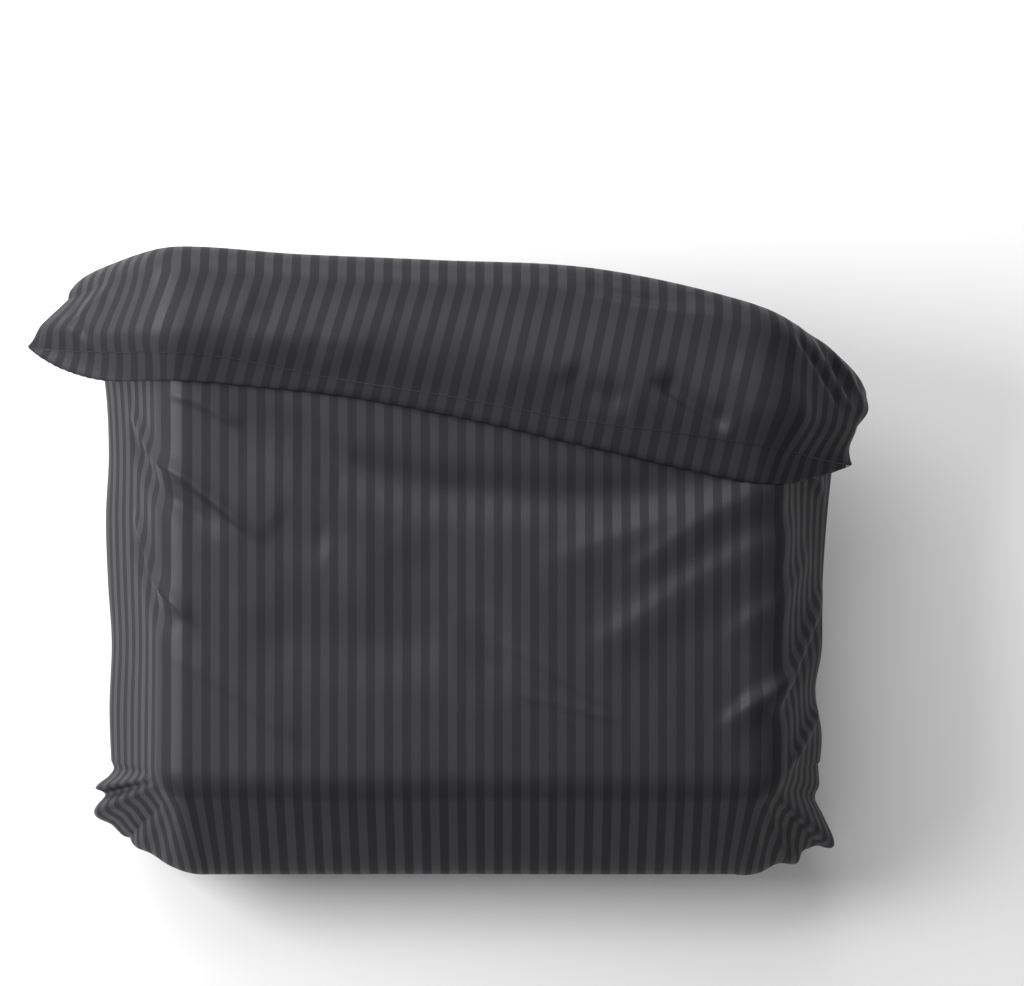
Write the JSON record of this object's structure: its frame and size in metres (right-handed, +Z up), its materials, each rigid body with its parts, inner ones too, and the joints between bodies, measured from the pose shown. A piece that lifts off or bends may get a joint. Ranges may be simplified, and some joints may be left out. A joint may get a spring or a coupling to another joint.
{
  "type": "duvet with cover",
  "caption": "Double duvet in a striped satin cover, draped over a bed with its head end turned down; a zip closes the cover's foot hem.",
  "frame": {"origin": "middle of the mattress top, where the underside of the cover's back panel rests on it", "axes": "+X across the bed to the right as seen from the foot, +Y along the bed to the head end, +Z up"},
  "size_m": [2.2843, 1.6518, 0.6362],
  "materials": {
    "cover_cloth": "satin weave in tone-on-tone stripes",
    "seam_cloth": "satin weave, stitched",
    "casing_cotton": "plain cotton weave",
    "filling_fibre": "loose fibre",
    "zip_tape": "woven tape",
    "zip_plastic": "satin",
    "zip_metal": "satin"
  },
  "bodies": {
    "duvet_body": {"casing_binding": "casing_cotton", "casing_bottom": "casing_cotton", "casing_loop_foot_left": "casing_cotton", "casing_loop_foot_right": "casing_cotton", "casing_loop_head_left": "casing_cotton", "casing_loop_head_right": "casing_cotton", "casing_top": "casing_cotton", "corner_tie_foot_left": "seam_cloth", "corner_tie_foot_right": "seam_cloth", "corner_tie_head_left": "seam_cloth", "corner_tie_head_right": "seam_cloth", "cover_back_panel": "cover_cloth", "cover_face_panel": "cover_cloth", "filling_row1_cell1": "filling_fibre", "filling_row1_cell2": "filling_fibre", "filling_row1_cell3": "filling_fibre", "filling_row1_cell4": "filling_fibre", "filling_row1_cell5": "filling_fibre", "filling_row1_cell6": "filling_fibre", "filling_row2_cell1": "filling_fibre", "filling_row2_cell2": "filling_fibre", "filling_row2_cell3": "filling_fibre", "filling_row2_cell4": "filling_fibre", "filling_row2_cell5": "filling_fibre", "filling_row2_cell6": "filling_fibre", "filling_row3_cell1": "filling_fibre", "filling_row3_cell2": "filling_fibre", "filling_row3_cell3": "filling_fibre", "filling_row3_cell4": "filling_fibre", "filling_row3_cell5": "filling_fibre", "filling_row3_cell6": "filling_fibre", "filling_row4_cell1": "filling_fibre", "filling_row4_cell2": "filling_fibre", "filling_row4_cell3": "filling_fibre", "filling_row4_cell4": "filling_fibre", "filling_row4_cell5": "filling_fibre", "filling_row4_cell6": "filling_fibre", "filling_row5_cell1": "filling_fibre", "filling_row5_cell2": "filling_fibre", "filling_row5_cell3": "filling_fibre", "filling_row5_cell4": "filling_fibre", "filling_row5_cell5": "filling_fibre", "filling_row5_cell6": "filling_fibre", "foot_hem_fold": "seam_cloth", "head_edge_seam": "seam_cloth", "hem_facing_left": "cover_cloth", "hem_facing_right": "cover_cloth", "hem_facing_under_zip": "cover_cloth", "left_edge_seam": "seam_cloth", "right_edge_seam": "seam_cloth", "zip_coil_lower": "zip_plastic", "zip_coil_upper": "zip_plastic", "zip_stop_closed_end": "zip_metal", "zip_stop_open_end": "zip_metal", "zip_tape_lower": "zip_tape", "zip_tape_upper": "zip_tape"},
    "slider_body": {"zip_slider": "zip_metal"},
    "pull_body": {"zip_pull": "zip_metal"}
  },
  "joints": [
    {"name": "zip_slide", "type": "slide", "parent": "duvet_body", "child": "slider_body", "axis": [1, 0, 0], "range_m": [0, 1.18]},
    {"name": "pull_swing", "type": "hinge", "parent": "slider_body", "child": "pull_body", "pos_m": [-0.5905, -1.21087, -0.29065], "axis": [0, -0.6428, -0.766], "range_deg": [-80, 80]}
  ]
}
